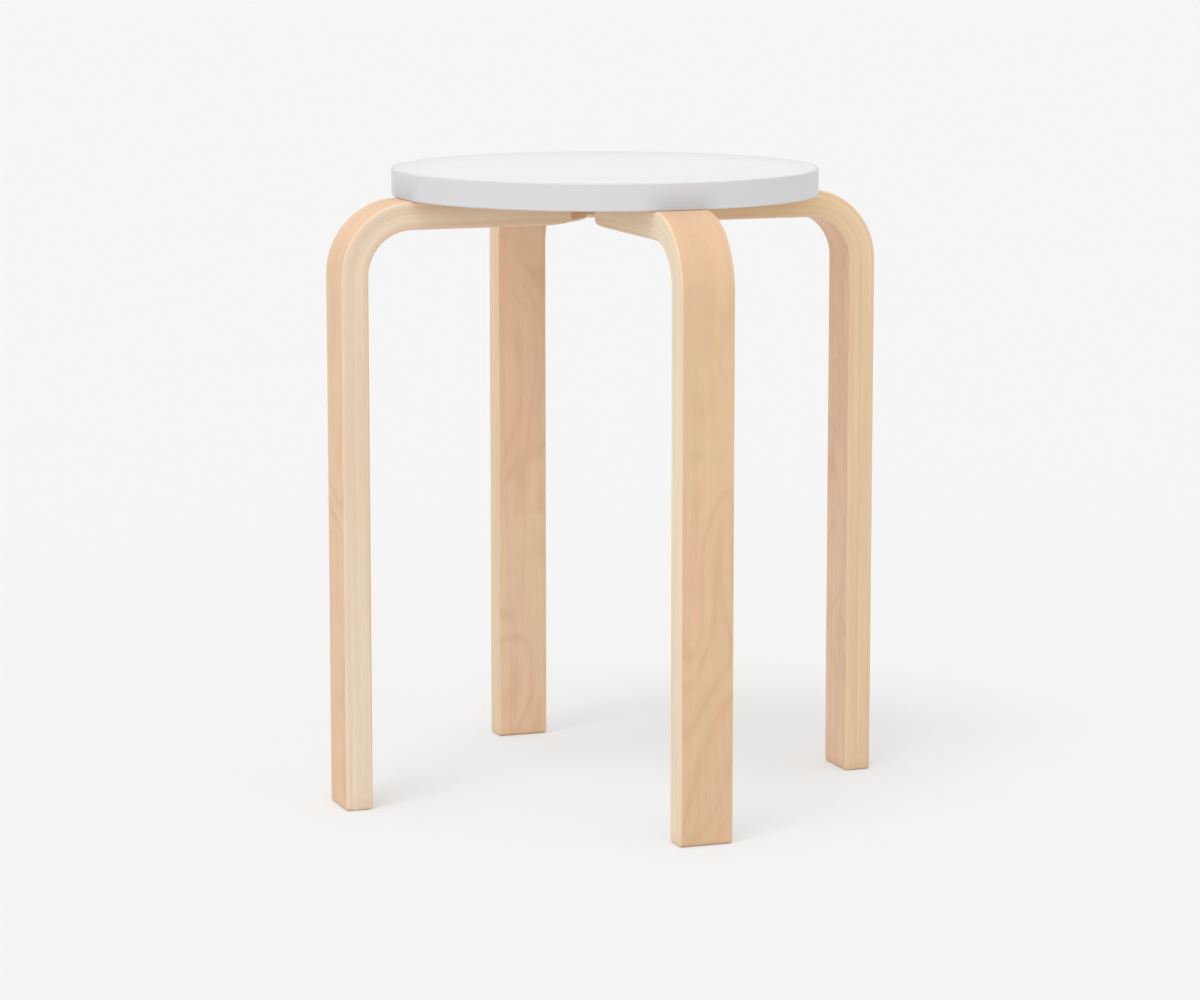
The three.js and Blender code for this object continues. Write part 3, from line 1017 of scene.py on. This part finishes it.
def add_thread(bm, start, end, settings):
    """A screw thread: one tooth of its profile climbs round the shank and is cut level at both ends."""
    pitch = settings.thread_pitch
    crest = settings.shank_radius - THREAD_PLAY
    root = crest - pitch * THREAD_DEPTH
    base = start - pitch

    # Radius of each corner of the tooth, and its height in pitches
    tooth = [(root, 0.0), (root, 0.15), (crest, 0.46), (crest, 0.6), (root, 0.9), (root, 1.0)]
    profile = outline(bm, [(radius, base + share * pitch) for radius, share in tooth])

    # The cuts take off a spare turn at each end
    turns = math.ceil((end - start) / pitch) + 2
    spin(bm, profile, turns * BOLT_STEPS, turns * math.tau, pitch / BOLT_STEPS)
    bmesh.ops.remove_doubles(bm, verts=bm.verts, dist=MERGE_DISTANCE)
    for height, side in ((start, -1), (end, 1)):
        bmesh.ops.bisect_plane(
            bm,
            geom=bm.verts[:] + bm.edges[:] + bm.faces[:],
            plane_co=(0.0, 0.0, height),
            plane_no=(0.0, 0.0, side),
            clear_outer=True,
        )


def extrude_ring(bm, edges, rise, widen):
    """Draws a ring of free edges upwards and scales it about the axis. Gives the new ring's edges."""
    drawn = bmesh.ops.extrude_edge_only(bm, edges=edges)["geom"]
    corners = [item for item in drawn if isinstance(item, bmesh.types.BMVert)]
    bmesh.ops.scale(bm, verts=corners, vec=(widen, widen, 1.0))
    bmesh.ops.translate(bm, verts=corners, vec=(0.0, 0.0, rise))
    return [item for item in drawn if isinstance(item, bmesh.types.BMEdge) and item.is_boundary]


def open_wires(bm):
    return [edge for edge in bm.edges if edge.is_wire]


def socket_corner_radius(settings):
    return settings.socket_width / 2 / math.cos(math.pi / SOCKET_SIDES)


def add_socket(bm, settings):
    """A hexagon socket with a conical floor, sunk into the open underside of the head."""
    corner_radius = socket_corner_radius(settings)
    mouth = ring_edges(bm, corner_radius + settings.lead_in, BOLT_LOW)
    start = Matrix.Translation((0.0, 0.0, BOLT_LOW + settings.lead_in))
    bmesh.ops.create_circle(bm, segments=SOCKET_SIDES, radius=corner_radius, matrix=start)
    bmesh.ops.subdivide_edges(bm, edges=open_wires(bm), cuts=BOLT_STEPS // SOCKET_SIDES - 1)
    hexagon = open_wires(bm)
    bmesh.ops.bridge_loops(bm, edges=mouth + hexagon)
    floor = extrude_ring(bm, hexagon, settings.socket_depth - settings.lead_in, 1.0)
    extrude_ring(bm, floor, corner_radius * CONE_SHARE, POINT_SHARE)
    bmesh.ops.remove_doubles(bm, verts=bm.verts, dist=MERGE_DISTANCE)


def bolt_mesh(settings):
    """A socket bolt, head down: rounded head, hexagon socket, plain shank, thread and chamfered tip."""
    bearing = BOLT_LOW + settings.head_height
    thread_start = bearing + settings.plain_shank
    thread_end = BOLT_HIGH - settings.tip_chamfer
    bm = bmesh.new()
    add_thread(bm, thread_start, thread_end, settings)
    tip = extrude_ring(bm, open_edges(bm, thread_end), settings.tip_chamfer, TIP_SHARE)
    bmesh.ops.holes_fill(bm, edges=tip)

    run_out = open_edges(bm, thread_start)
    shank_end = thread_start - settings.thread_pitch / 2
    corners = [
        (socket_corner_radius(settings) + settings.lead_in, BOLT_LOW),
        (BOLT_HEAD_RADIUS, BOLT_LOW),
        (BOLT_HEAD_RADIUS, bearing),
        (settings.shank_radius, bearing),
        (settings.shank_radius, shank_end),
    ]
    spin(bm, outline(bm, corners), BOLT_STEPS)
    bmesh.ops.bridge_loops(bm, edges=run_out + open_edges(bm, shank_end))
    add_socket(bm, settings)
    round_edges(bm, ring_edges(bm, BOLT_HEAD_RADIUS, BOLT_LOW), settings.head_round, HEAD_SEGMENTS)
    return bm


def placed(bm, centre, turn):
    """A copy of a mesh on the upright axis, turned about that axis and moved to its place."""
    copied = bm.copy()
    bmesh.ops.rotate(copied, verts=copied.verts, matrix=Matrix.Rotation(turn, 3, "Z"))
    bmesh.ops.translate(copied, verts=copied.verts, vec=(centre.x, centre.y, 0.0))
    return copied


# Stage

# How sharply the front light gathers round its middle
FRONT_FOCUS = 2.0

# Width of the camera's sensor in millimetres
SENSOR_WIDTH = 36.0


def add_floor(settings):
    bm = bmesh.new()
    bmesh.ops.create_circle(bm, cap_ends=True, segments=64, radius=settings.floor_radius)
    floor = place_object("floor", finished_mesh("floor", bm, floor_material(settings)))


def add_light(settings):
    """Soft light from all round, brighter overhead and in front, and a broad key light."""
    lamp = bpy.data.lights.new("key_light", "SUN")
    lamp.energy = settings.key_strength
    lamp.angle = settings.key_spread
    key = place_object("key_light", lamp)
    key.rotation_euler = Vector(settings.key_direction).to_track_quat("-Z", "Y").to_euler()

    world = bpy.data.worlds.new("studio")
    bpy.context.scene.world = world
    world.use_nodes = True
    world.node_tree.nodes.clear()
    nodes = Wiring(world.node_tree)
    out = nodes.add("ShaderNodeOutputWorld")
    direction = nodes.add("ShaderNodeTexCoord").outputs["Generated"]
    height = nodes.split(direction)[2]
    gradient = nodes.between(height, settings.horizon_light, settings.zenith_light)
    towards = Vector(settings.front_direction).normalized()
    facing = nodes.add("ShaderNodeVectorMath", [direction, towards], operation="DOT_PRODUCT")
    ahead = nodes.math("MAXIMUM", facing.outputs["Value"], 0.0)
    front = nodes.times(nodes.math("POWER", ahead, FRONT_FOCUS), settings.front_light)
    inputs = {"Color": (1.0, 1.0, 1.0), "Strength": nodes.plus(gradient, front)}
    soft = nodes.add("ShaderNodeBackground", inputs).outputs[0]
    backdrop = nodes.add("ShaderNodeBackground", {"Color": settings.backdrop_colour}).outputs[0]
    chosen = nodes.add("ShaderNodeMixShader", [background_rays(nodes), soft, backdrop])
    nodes.feed(out.inputs["Surface"], chosen.outputs[0])


def add_camera(settings):
    lens = bpy.data.cameras.new("camera")
    lens.sensor_width = SENSOR_WIDTH
    lens.lens = settings.lens
    lens.clip_end = 2 * settings.floor_radius
    camera = place_object("camera", lens)
    turn = settings.camera_turn
    camera.location = (
        -settings.camera_distance * math.sin(turn),
        -settings.camera_distance * math.cos(turn),
        settings.camera_height,
    )
    heading = turn - settings.camera_pan
    camera.rotation_euler = (math.pi / 2 - settings.camera_tilt, 0.0, -heading)
    bpy.context.scene.camera = camera
    bpy.context.scene.view_settings.view_transform = "Standard"


# Steps

class STOOL_OT_finish_legs(bpy.types.Operator):
    """Gives the four bent legs their soft edges and lacquered birch"""

    bl_idname = "stool.finish_legs"
    bl_label = "Finish Legs"

    def execute(self, context):
        settings = context.scene.stool_legs
        for leg, name in enumerate(LEG_NAMES):
            finish_node(f"leg_{name}", birch_material(leg, settings), settings.easing)
        return {"FINISHED"}


class STOOL_OT_finish_boards(bpy.types.Operator):
    """Gives the core board and its two laminates their surfaces"""

    bl_idname = "stool.finish_boards"
    bl_label = "Finish Boards"

    def execute(self, context):
        settings = context.scene.stool_seat
        finish_node("seat_core", chipboard_material(settings))
        finish_node("seat_top_laminate", laminate_material(settings))
        finish_node("seat_backing_laminate", backing_material(settings))
        return {"FINISHED"}


class STOOL_OT_add_edging(bpy.types.Operator):
    """Bends the white edging round the seat board"""

    bl_idname = "stool.add_edging"
    bl_label = "Add Edging"

    def execute(self, context):
        settings = context.scene.stool_seat
        band = edging_mesh(settings)
        new_piece("edging_band", band, edging_material(settings), "seat_edging")
        return {"FINISHED"}


class STOOL_OT_add_bolts(bpy.types.Operator):
    """Makes the eight socket bolts that hold the arms to the seat"""

    bl_idname = "stool.add_bolts"
    bl_label = "Add Bolts"

    def execute(self, context):
        settings = context.scene.stool_bolts
        zinc = metal_material("zinc_steel", settings.zinc_colour, roughness=0.28, spangle=0.08)
        bolt = bolt_mesh(settings)
        for leg, name in enumerate(LEG_NAMES):
            for place, label in enumerate(BOLT_PLACES):
                replaced = f"bolt_{name}_{label}"
                low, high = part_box(replaced)
                turn = SOCKET_TURN * (len(BOLT_PLACES) * leg + place)
                copied = placed(bolt, (low + high) / 2, turn)
                new_piece(f"socket_{replaced}", copied, zinc, replaced)
        bolt.free()
        return {"FINISHED"}


class STOOL_OT_finish_inserts(bpy.types.Operator):
    """Gives the threaded inserts their metal"""

    bl_idname = "stool.finish_inserts"
    bl_label = "Finish Inserts"

    def execute(self, context):
        settings = context.scene.stool_bolts
        metal = metal_material("insert_metal", settings.insert_colour, roughness=0.32, spangle=0.1)
        for name in LEG_NAMES:
            for place in BOLT_PLACES:
                finish_node(f"insert_{name}_{place}", metal)
        return {"FINISHED"}


class STOOL_OT_set_stage(bpy.types.Operator):
    """Sets the pale floor, the soft light and the camera"""

    bl_idname = "stool.set_stage"
    bl_label = "Set Stage"

    def execute(self, context):
        settings = context.scene.stool_stage
        add_floor(settings)
        add_light(settings)
        add_camera(settings)
        return {"FINISHED"}


SETTINGS = {
    "stool_legs": LegSettings,
    "stool_seat": SeatSettings,
    "stool_bolts": BoltSettings,
    "stool_stage": StageSettings,
}
OPERATORS = [
    STOOL_OT_finish_legs,
    STOOL_OT_finish_boards,
    STOOL_OT_add_edging,
    STOOL_OT_add_bolts,
    STOOL_OT_finish_inserts,
    STOOL_OT_set_stage,
]


class STOOL_PT_sidebar(bpy.types.Panel):
    """Lists the steps that dress the stool"""

    bl_label = "Stacking Stool"
    bl_space_type = "VIEW_3D"
    bl_region_type = "UI"
    bl_category = "Stool"

    def draw(self, context):
        column = self.layout.column(align=True)
        for operator in OPERATORS:
            column.operator(operator.bl_idname)


def register():
    for name, settings in SETTINGS.items():
        bpy.utils.register_class(settings)
        setattr(bpy.types.Scene, name, bpy.props.PointerProperty(type=settings))
    for operator in OPERATORS:
        bpy.utils.register_class(operator)
    bpy.utils.register_class(STOOL_PT_sidebar)


def unregister():
    bpy.utils.unregister_class(STOOL_PT_sidebar)
    for operator in reversed(OPERATORS):
        bpy.utils.unregister_class(operator)
    for name, settings in reversed(SETTINGS.items()):
        delattr(bpy.types.Scene, name)
        bpy.utils.unregister_class(settings)


def main():
    register()
    bpy.ops.stool.finish_legs()
    bpy.ops.stool.finish_boards()
    bpy.ops.stool.add_edging()
    bpy.ops.stool.add_bolts()
    bpy.ops.stool.finish_inserts()
    bpy.ops.stool.set_stage()


if __name__ == "__main__":
    main()
